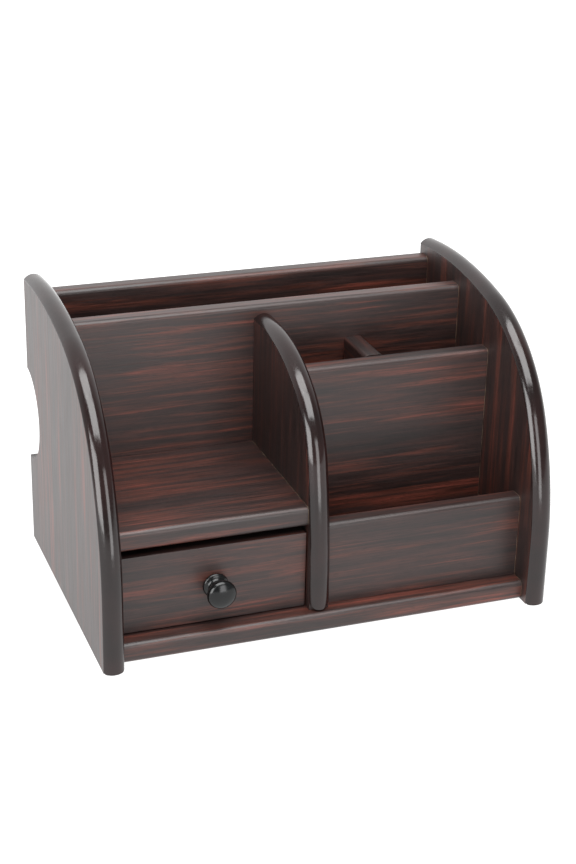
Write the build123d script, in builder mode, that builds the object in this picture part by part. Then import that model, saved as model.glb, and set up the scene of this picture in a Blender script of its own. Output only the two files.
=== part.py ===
from build123d import *
import os
from math import cos, radians, sin

os.makedirs("parts", exist_ok=True)

# ------------------------------------------------------------------ driving sizes, in mm
# The organizer is a case of 12 mm boards between two curved side panels, with one drawer.
# It stands on the lower edges of the side panels. +Z is up, the front faces -Y, and the
# origin lies on the surface it stands on, at the middle of its width and depth.
WIDTH = 275.0
BOARD = 12.0
BOARD_ROUNDING = 3.0

# Side panel outline: a straight rear edge, then three tangent arcs that rise a little and
# roll forward and down to a short vertical front edge. Each arc is (radius, turn in degrees).
SIDE_REAR_HEIGHT = 174.0
SIDE_RISE = 7.0
SIDE_ARCS = ((278.0, 20.0), (97.0, 52.0), (173.0, 25.0))
NOTCH_RADIUS = 29.3
NOTCH_HEIGHT = 87.4

# Edging: a shallow domed strip as wide as the board, held by a tongue in a groove.
EDGING_CREST = 3.5
TONGUE_WIDTH = 2.0
TONGUE_DEPTH = 5.0
TONGUE_CLEARANCE = 0.1

# Boards across the case: distance of the front face from the rear edge, and top height.
BACK_FRONT = 13.0
BACK_TOP = 169.0
LETTER_FRONT = 61.3
LETTER_TOP = 165.4
PEN_FRONT = 107.1
PEN_TOP = 139.3
POCKET_FRONT = 162.5
POCKET_TOP = 64.7
SHELF_FRONT = 162.0
SHELF_TOP = 77.0
BASE_FRONT = 173.0
BASE_TOP = 12.5
BASE_REAR = 1.0

# Centre divider: its middle stands a little left of the case's middle.
DIVIDER_X = -4.5
DIVIDER_TOP = 156.7
DIVIDER_FLAT_END = 76.5
DIVIDER_ARCS = ((100.0, 34.0), (61.5, 44.0), (388.0, 12.0))
DIVIDER_FOOT_GAP = 1.0
DIVIDER_FOOT_ROUNDING = 4.8
SIDE_FOOT_ROUNDING = 1.5
PEN_SLOT_X = 54.8

# Drawer: a front board, two sides, a back and a thin bottom let into grooves.
DRAWER_FACE = 161.3
DRAWER_FRONT_FOOT = 13.2
DRAWER_FRONT_TOP = 60.9
DRAWER_FRONT_GAP = 0.8
DRAWER_SIDE_GAP = 1.3
DRAWER_REAR_GAP = 0.3
DRAWER_LIFT = 0.3
DRAWER_SIDE_TOP = 55.0
DRAWER_WALL = 8.0
DRAWER_BOTTOM = 3.0
DRAWER_BOTTOM_UP = 4.1
GROOVE_DEPTH = 4.0
GROOVE_CLEARANCE = 0.1
GROOVE_END_GAP = 0.2

# Knob: a turned collar, a neck and a domed head, drawn on by a screw from inside the drawer.
KNOB_X = -66.5
KNOB_HEIGHT = 36.0
KNOB_COLLAR_RADIUS = 7.7
KNOB_NECK_RADIUS = 4.4
KNOB_HEAD_RADIUS = 8.8
KNOB_LENGTH = 16.5
SCREW_RADIUS = 2.0
SCREW_IN_KNOB = 8.0
SCREW_HEAD_RADIUS = 4.0
SCREW_HEAD_HEIGHT = 2.4

# Fasteners: beech dowels hold the case and the drawer front, steel pins the drawer's back.
DOWEL_RADIUS = 3.0
DOWEL_IN_FACE = 8.0
DOWEL_IN_END = 14.0
DRAWER_DOWEL_RADIUS = 2.0
DRAWER_DOWEL_IN_FACE = 8.0
DRAWER_DOWEL_IN_END = 12.0
DOWEL_CLEARANCE = 0.05
DOWEL_END_GAP = 0.25
PIN_RADIUS = 0.7
PIN_LENGTH = 18.0
PIN_HEAD_RADIUS = 1.4
PIN_HEAD_HEIGHT = 0.8


# ------------------------------------------------------------------ helpers
def forward_run(arcs: tuple, heading: float) -> float:
    """How far forward a chain of tangent arcs reaches, from its heading below level."""
    run = 0.0
    for radius, turn in arcs:
        run += radius * (sin(radians(heading + turn)) - sin(radians(heading)))
        heading += turn
    return run


REAR = (forward_run(SIDE_ARCS, -SIDE_RISE) + EDGING_CREST) / 2
LEFT_INNER = -WIDTH / 2 + BOARD
RIGHT_INNER = WIDTH / 2 - BOARD
DIVIDER_LEFT = DIVIDER_X - BOARD / 2
DIVIDER_RIGHT = DIVIDER_X + BOARD / 2


def from_rear(distance: float) -> float:
    """The Y position at a distance in front of the side panels' rear edge."""
    return REAR - distance


def draw_arcs(start: tuple, tangent: Vector, arcs: tuple) -> JernArc:
    """Draws a chain of tangent arcs in the active line and returns the last one."""
    radius, turn = arcs[0]
    arc = JernArc(start, tangent, radius, turn)
    for radius, turn in arcs[1:]:
        arc = JernArc(arc @ 1, arc % 1, radius, turn)
    return arc


def drill(points: list, outward: tuple, depth: float, radius: float) -> None:
    """Drills blind bores into the active part, from points on one of its faces."""
    for point in points:
        with Locations(Plane(origin=point, z_dir=outward)):
            Hole(radius=radius, depth=depth)


def drill_dowels(points: list, outward: tuple, depth: float) -> None:
    """Drills bores for the case's dowels, a little deeper and wider than the dowels."""
    drill(points, outward, depth + DOWEL_END_GAP, DOWEL_RADIUS + DOWEL_CLEARANCE)


def place_dowels(points: list, outward: tuple, in_face: float, in_end: float, radius: float) -> None:
    """Adds dowels that reach in_face into the drilled face and in_end out of it."""
    for point in points:
        with Locations(Plane(origin=point, z_dir=outward)):
            with Locations((0, 0, (in_end - in_face) / 2)):
                Cylinder(radius=radius, height=in_face + in_end)


def section_plane(path: BuildLine) -> Plane:
    """The plane square to the start of an edge path, its X across the board."""
    return Plane(origin=path.line @ 0, x_dir=(1, 0, 0), z_dir=path.line % 0)


def edging_profile() -> Sketch:
    """The edging's cross section: a shallow dome on a flat back, with a tongue below it."""
    with BuildSketch() as profile:
        with BuildLine():
            base = Line((-BOARD / 2, 0), (BOARD / 2, 0))
            ThreePointArc(base @ 1, (0, EDGING_CREST), base @ 0)
        make_face()
        with Locations((0, -TONGUE_DEPTH / 2)):
            Rectangle(TONGUE_WIDTH, TONGUE_DEPTH)
    return profile.sketch


def groove_profile() -> Sketch:
    """The cross section of the groove that takes the edging's tongue."""
    depth = TONGUE_DEPTH + TONGUE_CLEARANCE
    with BuildSketch() as profile:
        with Locations((0, -depth / 2)):
            Rectangle(TONGUE_WIDTH + 2 * TONGUE_CLEARANCE, depth)
    return profile.sketch


def round_foot(x: float, foot: float, rounding: float) -> None:
    """Rounds the active strip's lower end, seen from the front."""
    with BuildSketch(Plane.XZ.offset(-REAR)) as mask:
        with Locations((x, foot + SIDE_REAR_HEIGHT)):
            RectangleRounded(BOARD, 2 * SIDE_REAR_HEIGHT, rounding)
    extrude(mask.sketch, amount=3 * REAR, mode=Mode.INTERSECT)


def finish(piece: BuildPart, name: str) -> None:
    """Labels a finished piece and writes its STEP file."""
    piece.part.label = name
    export_step(piece.part, f"parts/{name}.step")


# ------------------------------------------------------------------ dowel positions
def across(x: float, distance: float, heights: tuple) -> list:
    """Dowel centres one above the other in the plane X = x, on a board's middle line."""
    return [(x, from_rear(distance), height) for height in heights]


def along(x: float, height: float, distances: tuple) -> list:
    """Dowel centres one behind the other in the plane X = x, on a level board's middle line."""
    return [(x, from_rear(distance), height) for distance in distances]


PEN_REAR = PEN_FRONT - BOARD
BACK_MIDDLE = BACK_FRONT - BOARD / 2
LETTER_MIDDLE = LETTER_FRONT - BOARD / 2
PEN_MIDDLE = PEN_FRONT - BOARD / 2
POCKET_MIDDLE = POCKET_FRONT - BOARD / 2
BASE_MIDDLE = BASE_TOP - BOARD / 2
SHELF_MIDDLE = SHELF_TOP - BOARD / 2

back_left = across(LEFT_INNER, BACK_MIDDLE, (34.0, 146.0))
back_right = across(RIGHT_INNER, BACK_MIDDLE, (34.0, 146.0))
letter_left = across(LEFT_INNER, LETTER_MIDDLE, (40.0, 138.0))
letter_right = across(RIGHT_INNER, LETTER_MIDDLE, (40.0, 138.0))
pen_left = across(DIVIDER_RIGHT, PEN_MIDDLE, (45.0, 108.0))
pen_right = across(RIGHT_INNER, PEN_MIDDLE, (45.0, 108.0))
pocket_left = across(DIVIDER_RIGHT, POCKET_MIDDLE, (24.0, 48.0))
pocket_right = across(RIGHT_INNER, POCKET_MIDDLE, (24.0, 48.0))
base_left = along(LEFT_INNER, BASE_MIDDLE, (30.0, 140.0))
base_right = along(RIGHT_INNER, BASE_MIDDLE, (30.0, 140.0))
shelf_left = along(LEFT_INNER, SHELF_MIDDLE, (82.0, 140.0))
shelf_right = along(DIVIDER_LEFT, SHELF_MIDDLE, (82.0, 140.0))
divider_rear = [(DIVIDER_X, from_rear(LETTER_FRONT), height) for height in (52.0, 128.0)]
divider_foot = [(DIVIDER_X, from_rear(distance), BASE_TOP) for distance in (95.0, 142.0)]
slot_rear = [(PEN_SLOT_X, from_rear(LETTER_FRONT), height) for height in (45.0, 108.0)]
slot_front = [(PEN_SLOT_X, from_rear(PEN_REAR), height) for height in (60.0, 95.0)]

TO_LEFT = (-1, 0, 0)
TO_RIGHT = (1, 0, 0)
TO_FRONT = (0, -1, 0)
TO_REAR = (0, 1, 0)
UP = (0, 0, 1)
DOWN = (0, 0, -1)

# ------------------------------------------------------------------ side panels and edging
rise_2d = Vector(-cos(radians(SIDE_RISE)), sin(radians(SIDE_RISE)))
rise_3d = Vector(0, -cos(radians(SIDE_RISE)), sin(radians(SIDE_RISE)))
side_dowels = {
    "left": back_left + letter_left + base_left + shelf_left,
    "right": back_right + letter_right + base_right + pen_right + pocket_right,
}
side_middle = {"left": -WIDTH / 2 + BOARD / 2, "right": WIDTH / 2 - BOARD / 2}
side_inward = {"left": TO_RIGHT, "right": TO_LEFT}

for side, middle in side_middle.items():
    with BuildPart() as side_panel:
        with BuildSketch(Plane.YZ.offset(middle)):
            with BuildLine():
                rear = Line((REAR, 0), (REAR, SIDE_REAR_HEIGHT))
                curve = draw_arcs((REAR, SIDE_REAR_HEIGHT), rise_2d, SIDE_ARCS)
                front_foot = ((curve @ 1).X, 0)
                Line(curve @ 1, front_foot)
                Line(front_foot, rear @ 0)
            make_face()
            with Locations((REAR, NOTCH_HEIGHT)):
                Circle(NOTCH_RADIUS, mode=Mode.SUBTRACT)
        extrude(amount=BOARD / 2, both=True)
        with BuildLine(Plane.YZ.offset(middle)) as side_path:
            curve = draw_arcs((REAR, SIDE_REAR_HEIGHT), rise_3d, SIDE_ARCS)
            Line(curve @ 1, Vector(middle, (curve @ 1).Y, 0))
        sweep(section_plane(side_path) * groove_profile(), path=side_path.line, mode=Mode.SUBTRACT)
        drill_dowels(side_dowels[side], side_inward[side], DOWEL_IN_FACE)
    finish(side_panel, f"{side}_side_panel")

    with BuildPart() as side_edging:
        sweep(section_plane(side_path) * edging_profile(), path=side_path.line)
        round_foot(middle, 0, SIDE_FOOT_ROUNDING)
    finish(side_edging, f"{side}_side_edging")

# ------------------------------------------------------------------ centre divider and edging
with BuildPart() as centre_divider:
    with BuildSketch(Plane.YZ.offset(DIVIDER_X)):
        with BuildLine():
            rear = Line((from_rear(LETTER_FRONT), BASE_TOP), (from_rear(LETTER_FRONT), DIVIDER_TOP))
            flat = Line(rear @ 1, (from_rear(DIVIDER_FLAT_END), DIVIDER_TOP))
            curve = draw_arcs(flat @ 1, flat % 1, DIVIDER_ARCS)
            front_foot = ((curve @ 1).X, BASE_TOP)
            Line(curve @ 1, front_foot)
            Line(front_foot, rear @ 0)
        make_face()
    extrude(amount=BOARD / 2, both=True)
    with BuildLine(Plane.YZ.offset(DIVIDER_X)) as divider_path:
        flat = Line((from_rear(LETTER_FRONT), DIVIDER_TOP), (from_rear(DIVIDER_FLAT_END), DIVIDER_TOP))
        curve = draw_arcs(flat @ 1, flat % 1, DIVIDER_ARCS)
        Line(curve @ 1, Vector(DIVIDER_X, (curve @ 1).Y, BASE_TOP))
    sweep(section_plane(divider_path) * groove_profile(), path=divider_path.line, mode=Mode.SUBTRACT)
    drill_dowels(divider_rear, TO_REAR, DOWEL_IN_END)
    drill_dowels(divider_foot, DOWN, DOWEL_IN_END)
    drill_dowels(shelf_right, TO_LEFT, DOWEL_IN_FACE)
    drill_dowels(pen_left + pocket_left, TO_RIGHT, DOWEL_IN_FACE)
finish(centre_divider, "centre_divider")

with BuildPart() as centre_divider_edging:
    sweep(section_plane(divider_path) * edging_profile(), path=divider_path.line)
    round_foot(DIVIDER_X, BASE_TOP + DIVIDER_FOOT_GAP, DIVIDER_FOOT_ROUNDING)
finish(centre_divider_edging, "centre_divider_edging")

# ------------------------------------------------------------------ boards across the case
inner_width = RIGHT_INNER - LEFT_INNER
right_bay = RIGHT_INNER - DIVIDER_RIGHT
right_bay_x = (RIGHT_INNER + DIVIDER_RIGHT) / 2

with BuildPart() as back_panel:
    with BuildSketch(Plane.XZ.offset(-from_rear(BACK_FRONT))):
        with Locations((0, (BASE_TOP + BACK_TOP) / 2)):
            Rectangle(inner_width, BACK_TOP - BASE_TOP)
    extrude(amount=-BOARD)
    fillet(back_panel.edges().filter_by(Axis.X).group_by(Axis.Z)[-1], BOARD_ROUNDING)
    drill_dowels(back_left, TO_LEFT, DOWEL_IN_END)
    drill_dowels(back_right, TO_RIGHT, DOWEL_IN_END)
finish(back_panel, "back_panel")

with BuildPart() as letter_divider:
    with BuildSketch(Plane.XZ.offset(-from_rear(LETTER_FRONT))):
        with Locations((0, (BASE_TOP + LETTER_TOP) / 2)):
            Rectangle(inner_width, LETTER_TOP - BASE_TOP)
    extrude(amount=-BOARD)
    fillet(letter_divider.edges().filter_by(Axis.X).group_by(Axis.Z)[-1], BOARD_ROUNDING)
    drill_dowels(letter_left, TO_LEFT, DOWEL_IN_END)
    drill_dowels(letter_right, TO_RIGHT, DOWEL_IN_END)
    drill_dowels(divider_rear + slot_rear, TO_FRONT, DOWEL_IN_FACE)
finish(letter_divider, "letter_divider")

with BuildPart() as pen_divider:
    with BuildSketch(Plane.XZ.offset(-from_rear(PEN_FRONT))):
        with Locations((right_bay_x, (BASE_TOP + PEN_TOP) / 2)):
            Rectangle(right_bay, PEN_TOP - BASE_TOP)
    extrude(amount=-BOARD)
    fillet(pen_divider.edges().filter_by(Axis.X).group_by(Axis.Z)[-1], BOARD_ROUNDING)
    drill_dowels(pen_left, TO_LEFT, DOWEL_IN_END)
    drill_dowels(pen_right, TO_RIGHT, DOWEL_IN_END)
    drill_dowels(slot_front, TO_REAR, DOWEL_IN_FACE)
finish(pen_divider, "pen_divider")

with BuildPart() as pen_slot_divider:
    with BuildSketch(Plane.XZ.offset(-from_rear(LETTER_FRONT))):
        with Locations((PEN_SLOT_X, (BASE_TOP + PEN_TOP) / 2)):
            Rectangle(BOARD, PEN_TOP - BASE_TOP)
    extrude(amount=PEN_REAR - LETTER_FRONT)
    fillet(pen_slot_divider.edges().filter_by(Axis.Y).group_by(Axis.Z)[-1], BOARD_ROUNDING)
    drill_dowels(slot_rear, TO_REAR, DOWEL_IN_END)
    drill_dowels(slot_front, TO_FRONT, DOWEL_IN_END)
finish(pen_slot_divider, "pen_slot_divider")

with BuildPart() as pocket_front:
    with BuildSketch(Plane.XZ.offset(-from_rear(POCKET_FRONT))):
        with Locations((right_bay_x, (BASE_TOP + POCKET_TOP) / 2)):
            Rectangle(right_bay, POCKET_TOP - BASE_TOP)
    extrude(amount=-BOARD)
    fillet(pocket_front.edges().filter_by(Axis.X).group_by(Axis.Z)[-1], BOARD_ROUNDING)
    drill_dowels(pocket_left, TO_LEFT, DOWEL_IN_END)
    drill_dowels(pocket_right, TO_RIGHT, DOWEL_IN_END)
finish(pocket_front, "pocket_front")

with BuildPart() as drawer_shelf:
    with BuildSketch(Plane.XY.offset(SHELF_TOP)):
        with Locations(((LEFT_INNER + DIVIDER_LEFT) / 2, from_rear((LETTER_FRONT + SHELF_FRONT) / 2))):
            Rectangle(DIVIDER_LEFT - LEFT_INNER, SHELF_FRONT - LETTER_FRONT)
    extrude(amount=-BOARD)
    fillet(drawer_shelf.edges().filter_by(Axis.X).group_by(Axis.Y)[0], BOARD_ROUNDING)
    drill_dowels(shelf_left, TO_LEFT, DOWEL_IN_END)
    drill_dowels(shelf_right, TO_RIGHT, DOWEL_IN_END)
finish(drawer_shelf, "drawer_shelf")

with BuildPart() as base_panel:
    with BuildSketch(Plane.XY.offset(BASE_TOP)):
        with Locations((0, from_rear((BASE_REAR + BASE_FRONT) / 2))):
            Rectangle(inner_width, BASE_FRONT - BASE_REAR)
    extrude(amount=-BOARD)
    fillet(base_panel.edges().filter_by(Axis.X).group_by(Axis.Y)[0], BOARD_ROUNDING)
    drill_dowels(base_left, TO_LEFT, DOWEL_IN_END)
    drill_dowels(base_right, TO_RIGHT, DOWEL_IN_END)
    drill_dowels(divider_foot, UP, DOWEL_IN_FACE)
finish(base_panel, "base_panel")

with BuildPart() as case_dowels:
    place_dowels(side_dowels["left"], TO_RIGHT, DOWEL_IN_FACE, DOWEL_IN_END, DOWEL_RADIUS)
    place_dowels(side_dowels["right"], TO_LEFT, DOWEL_IN_FACE, DOWEL_IN_END, DOWEL_RADIUS)
    place_dowels(shelf_right, TO_LEFT, DOWEL_IN_FACE, DOWEL_IN_END, DOWEL_RADIUS)
    place_dowels(pen_left + pocket_left, TO_RIGHT, DOWEL_IN_FACE, DOWEL_IN_END, DOWEL_RADIUS)
    place_dowels(divider_rear + slot_rear, TO_FRONT, DOWEL_IN_FACE, DOWEL_IN_END, DOWEL_RADIUS)
    place_dowels(slot_front, TO_REAR, DOWEL_IN_FACE, DOWEL_IN_END, DOWEL_RADIUS)
    place_dowels(divider_foot, UP, DOWEL_IN_FACE, DOWEL_IN_END, DOWEL_RADIUS)
    chamfer(case_dowels.edges().filter_by(GeomType.CIRCLE), 0.6)
finish(case_dowels, "case_dowels")

# ------------------------------------------------------------------ drawer
drawer_x = (LEFT_INNER + DIVIDER_LEFT) / 2
drawer_left = LEFT_INNER + DRAWER_SIDE_GAP
drawer_right = DIVIDER_LEFT - DRAWER_SIDE_GAP
drawer_rear = LETTER_FRONT + DRAWER_REAR_GAP
front_rear = DRAWER_FACE - BOARD
side_foot = BASE_TOP + DRAWER_LIFT
bottom_foot = side_foot + DRAWER_BOTTOM_UP
bottom_top = bottom_foot + DRAWER_BOTTOM
groove_middle = bottom_foot + DRAWER_BOTTOM / 2
groove_height = DRAWER_BOTTOM + 2 * GROOVE_CLEARANCE
inner_left = drawer_left + DRAWER_WALL
inner_right = drawer_right - DRAWER_WALL
wall_middle = {"left": drawer_left + DRAWER_WALL / 2, "right": drawer_right - DRAWER_WALL / 2}
front_dowels = {
    side: [(x, from_rear(front_rear), height) for height in (27.0, 45.0)]
    for side, x in wall_middle.items()
}
back_pin_heights = (28.0, 46.0)
pin_middle = drawer_rear + DRAWER_WALL / 2
bottom_pins = [(drawer_x + offset, from_rear(pin_middle), bottom_foot) for offset in (-32.0, 0.0, 32.0)]
side_pins = {
    "left": [(drawer_left, from_rear(pin_middle), height) for height in back_pin_heights],
    "right": [(drawer_right, from_rear(pin_middle), height) for height in back_pin_heights],
}
side_outward = {"left": TO_LEFT, "right": TO_RIGHT}


def drill_pins(points: list, outward: tuple, depth: float, with_head: bool) -> None:
    """Drills the bores of the drawer's pins, with room for their heads where they enter."""
    drill(points, outward, depth, PIN_RADIUS + DOWEL_CLEARANCE)
    if with_head:
        drill(points, outward, PIN_HEAD_HEIGHT + DOWEL_CLEARANCE, PIN_HEAD_RADIUS + DOWEL_CLEARANCE)


def place_pins(points: list, outward: tuple) -> None:
    """Adds pins with their heads flush with the face they enter."""
    for point in points:
        with Locations(Plane(origin=point, z_dir=outward)):
            with Locations((0, 0, -PIN_LENGTH / 2)):
                Cylinder(radius=PIN_RADIUS, height=PIN_LENGTH)
            with Locations((0, 0, -PIN_HEAD_HEIGHT / 2)):
                Cylinder(radius=PIN_HEAD_RADIUS, height=PIN_HEAD_HEIGHT)


with BuildPart() as drawer_front:
    with BuildSketch(Plane.XZ.offset(-from_rear(DRAWER_FACE))):
        with Locations((drawer_x, (DRAWER_FRONT_FOOT + DRAWER_FRONT_TOP) / 2)):
            Rectangle(
                DIVIDER_LEFT - LEFT_INNER - 2 * DRAWER_FRONT_GAP, DRAWER_FRONT_TOP - DRAWER_FRONT_FOOT
            )
    extrude(amount=-BOARD)
    fillet(drawer_front.edges().group_by(Axis.Y)[0], 1.0)
    with BuildSketch(Plane.XZ.offset(-from_rear(front_rear))):
        with Locations((drawer_x, groove_middle)):
            Rectangle(inner_right - inner_left + 2 * GROOVE_DEPTH, groove_height)
    extrude(amount=GROOVE_DEPTH, mode=Mode.SUBTRACT)
    drill(
        front_dowels["left"] + front_dowels["right"],
        TO_REAR,
        DRAWER_DOWEL_IN_FACE + DOWEL_END_GAP,
        DRAWER_DOWEL_RADIUS + DOWEL_CLEARANCE,
    )
    drill([(KNOB_X, from_rear(DRAWER_FACE), KNOB_HEIGHT)], TO_FRONT, BOARD, SCREW_RADIUS + 0.2)
finish(drawer_front, "drawer_front")

for side, middle in wall_middle.items():
    inner_face = inner_left if side == "left" else inner_right
    with BuildPart() as drawer_side:
        with BuildSketch(Plane.YZ.offset(middle)):
            with Locations((from_rear((front_rear + drawer_rear) / 2), (side_foot + DRAWER_SIDE_TOP) / 2)):
                Rectangle(front_rear - drawer_rear, DRAWER_SIDE_TOP - side_foot)
        extrude(amount=DRAWER_WALL / 2, both=True)
        fillet(drawer_side.edges().filter_by(Axis.Y).group_by(Axis.Z)[-1], 1.5)
        with BuildSketch(Plane.YZ.offset(inner_face)):
            with Locations((from_rear((front_rear + drawer_rear) / 2), groove_middle)):
                Rectangle(front_rear - drawer_rear, groove_height)
        extrude(amount=GROOVE_DEPTH, both=True, mode=Mode.SUBTRACT)
        drill(
            front_dowels[side],
            TO_FRONT,
            DRAWER_DOWEL_IN_END + DOWEL_END_GAP,
            DRAWER_DOWEL_RADIUS + DOWEL_CLEARANCE,
        )
        drill_pins(side_pins[side], side_outward[side], DRAWER_WALL, with_head=True)
    finish(drawer_side, f"drawer_{side}_side")

with BuildPart() as drawer_back:
    with BuildSketch(Plane.XZ.offset(-from_rear(drawer_rear))):
        with Locations((drawer_x, (bottom_top + DRAWER_SIDE_TOP) / 2)):
            Rectangle(inner_right - inner_left, DRAWER_SIDE_TOP - bottom_top)
    extrude(amount=DRAWER_WALL)
    fillet(drawer_back.edges().filter_by(Axis.X).group_by(Axis.Z)[-1], 1.5)
    pin_reach = PIN_LENGTH - DRAWER_WALL + DOWEL_END_GAP
    for side, inner_face in (("left", inner_left), ("right", inner_right)):
        entries = [(inner_face, y, z) for x, y, z in side_pins[side]]
        drill_pins(entries, side_outward[side], pin_reach, with_head=False)
    entries = [(x, y, bottom_top) for x, y, z in bottom_pins]
    drill_pins(entries, DOWN, PIN_LENGTH - DRAWER_BOTTOM + DOWEL_END_GAP, with_head=False)
finish(drawer_back, "drawer_back")

with BuildPart() as drawer_bottom:
    bottom_reach = GROOVE_DEPTH - GROOVE_END_GAP
    with BuildSketch(Plane.XY.offset(bottom_foot)):
        with Locations((drawer_x, from_rear((front_rear + bottom_reach + drawer_rear) / 2))):
            Rectangle(inner_right - inner_left + 2 * bottom_reach, front_rear + bottom_reach - drawer_rear)
    extrude(amount=DRAWER_BOTTOM)
    drill_pins(bottom_pins, DOWN, DRAWER_BOTTOM, with_head=True)
finish(drawer_bottom, "drawer_bottom")

with BuildPart() as drawer_dowels:
    for points in front_dowels.values():
        place_dowels(points, TO_REAR, DRAWER_DOWEL_IN_FACE, DRAWER_DOWEL_IN_END, DRAWER_DOWEL_RADIUS)
    chamfer(drawer_dowels.edges().filter_by(GeomType.CIRCLE), 0.4)
finish(drawer_dowels, "drawer_dowels")

with BuildPart() as drawer_pins:
    place_pins(side_pins["left"], TO_LEFT)
    place_pins(side_pins["right"], TO_RIGHT)
    place_pins(bottom_pins, DOWN)
finish(drawer_pins, "drawer_pins")

# The knob is turned about a level axis: half of its outline, with the axis along local Y.
knob_plane = Plane(origin=(KNOB_X, from_rear(DRAWER_FACE), KNOB_HEIGHT), x_dir=TO_RIGHT, z_dir=UP)
head_rim = KNOB_LENGTH - 4.5
dome_radius = KNOB_HEAD_RADIUS - 1.0
dome_height = 2.0
dome_sphere = (dome_radius**2 + dome_height**2) / (2 * dome_height)

with BuildPart() as drawer_knob:
    with BuildSketch(knob_plane):
        with BuildLine():
            foot = Line((0, 0), (KNOB_COLLAR_RADIUS - 0.6, 0))
            collar = ThreePointArc(foot @ 1, (KNOB_COLLAR_RADIUS, -1.1), (KNOB_COLLAR_RADIUS - 0.6, -2.2))
            neck = Spline(
                collar @ 1,
                (KNOB_NECK_RADIUS + 0.4, -4.0),
                (KNOB_NECK_RADIUS, -6.0),
                (KNOB_HEAD_RADIUS - 1.4, -9.4),
            )
            dome_foot = (dome_radius, dome_height - KNOB_LENGTH)
            rim = ThreePointArc(neck @ 1, (KNOB_HEAD_RADIUS, -head_rim), dome_foot)
            dome = RadiusArc(rim @ 1, (0, -KNOB_LENGTH), dome_sphere)
            Line(dome @ 1, foot @ 0)
        make_face()
    revolve(axis=Axis(knob_plane.origin, TO_REAR))
    drill([knob_plane.origin], TO_REAR, SCREW_IN_KNOB + DOWEL_END_GAP, SCREW_RADIUS + DOWEL_CLEARANCE)
finish(drawer_knob, "drawer_knob")

with BuildPart() as knob_screw:
    screw_head_y = from_rear(front_rear)
    with BuildSketch(Plane.XZ.offset(-screw_head_y)):
        with Locations((KNOB_X, KNOB_HEIGHT)):
            Circle(SCREW_RADIUS)
    extrude(amount=BOARD + SCREW_IN_KNOB)
    with BuildSketch(Plane.XZ.offset(-screw_head_y)):
        with Locations((KNOB_X, KNOB_HEIGHT)):
            Circle(SCREW_HEAD_RADIUS)
    extrude(amount=-SCREW_HEAD_HEIGHT)
    fillet(knob_screw.edges().group_by(Axis.Y)[-1], 1.2)
    with BuildSketch(Plane.XZ.offset(-screw_head_y - SCREW_HEAD_HEIGHT)):
        with Locations((KNOB_X, KNOB_HEIGHT)):
            Rectangle(4.6, 1.0)
            Rectangle(1.0, 4.6)
    extrude(amount=1.4, mode=Mode.SUBTRACT)
finish(knob_screw, "knob_screw")
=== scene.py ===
"""Looks of a wooden desk organizer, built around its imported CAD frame.

The case's boards, the domed edging strips and the knob are modelled here in edit mode, with softened
edges, and dressed in rosewood foil, glossy edging and black lacquer. The drawer's inner boards and the
fasteners keep their CAD shape and get materials of their own.
"""
import logging
import math
from dataclasses import dataclass, field
from enum import Enum
from typing import Callable

import bmesh
import bpy
from mathutils import Matrix, Quaternion, Vector


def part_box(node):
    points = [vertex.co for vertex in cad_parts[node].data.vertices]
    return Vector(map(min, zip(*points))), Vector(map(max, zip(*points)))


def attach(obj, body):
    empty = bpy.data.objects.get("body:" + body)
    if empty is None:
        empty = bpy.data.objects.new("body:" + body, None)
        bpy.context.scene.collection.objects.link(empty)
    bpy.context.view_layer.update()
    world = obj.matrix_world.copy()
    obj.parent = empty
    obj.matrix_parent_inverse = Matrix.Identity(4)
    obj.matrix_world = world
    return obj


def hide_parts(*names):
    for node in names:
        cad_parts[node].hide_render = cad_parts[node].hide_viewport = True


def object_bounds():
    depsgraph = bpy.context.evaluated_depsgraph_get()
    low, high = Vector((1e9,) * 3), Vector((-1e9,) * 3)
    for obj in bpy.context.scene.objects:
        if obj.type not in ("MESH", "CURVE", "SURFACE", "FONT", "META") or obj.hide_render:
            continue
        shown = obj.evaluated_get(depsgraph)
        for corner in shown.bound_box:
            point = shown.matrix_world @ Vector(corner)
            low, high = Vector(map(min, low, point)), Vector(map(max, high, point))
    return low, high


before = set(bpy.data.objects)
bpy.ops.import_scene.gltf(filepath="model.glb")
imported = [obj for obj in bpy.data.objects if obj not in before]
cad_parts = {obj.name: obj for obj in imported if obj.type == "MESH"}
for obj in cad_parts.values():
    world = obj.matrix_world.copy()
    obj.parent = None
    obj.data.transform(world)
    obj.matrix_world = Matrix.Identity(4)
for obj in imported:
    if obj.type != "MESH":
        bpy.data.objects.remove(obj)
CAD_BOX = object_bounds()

log = logging.getLogger("organizer")
MM = 0.001
MERGE_DISTANCE = 0.01 * MM
SAME_PLACE = 0.01 * MM
HAIR = 0.005 * MM
LONG_EDGE = 20 * MM


# ---------------------------------------------------------------------------- shader helpers
def linear(hex_colour: str) -> tuple[float, float, float, float]:
    """Turns an sRGB hex colour into linear RGBA.

    Args:
        hex_colour: Six hex digits, with or without a leading #.

    Returns:
        The linear colour with an alpha of 1.
    """
    digits = hex_colour.lstrip("#")
    channels = []
    for start in (0, 2, 4):
        value = int(digits[start:start + 2], 16) / 255
        channels.append(value / 12.92 if value <= 0.04045 else ((value + 0.055) / 1.055) ** 2.4)
    return (*channels, 1.0)


def add_node(tree: bpy.types.NodeTree, kind: str, settings: dict | None = None,
             links: dict | None = None) -> bpy.types.Node:
    """Adds a shader node, sets its values and links its inputs.

    Args:
        tree: The node tree to add to.
        kind: The node's type name without the leading "ShaderNode".
        settings: Attribute names in lower case, or input names or numbers, with their values.
        links: Input names or numbers, with the output sockets that feed them.

    Returns:
        The new node.
    """
    node = tree.nodes.new(f"ShaderNode{kind}")
    for key, value in (settings or {}).items():
        if isinstance(key, str) and key.islower():
            setattr(node, key, value)
        else:
            node.inputs[key].default_value = value
    for key, source in (links or {}).items():
        tree.links.new(source, node.inputs[key])
    return node


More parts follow.
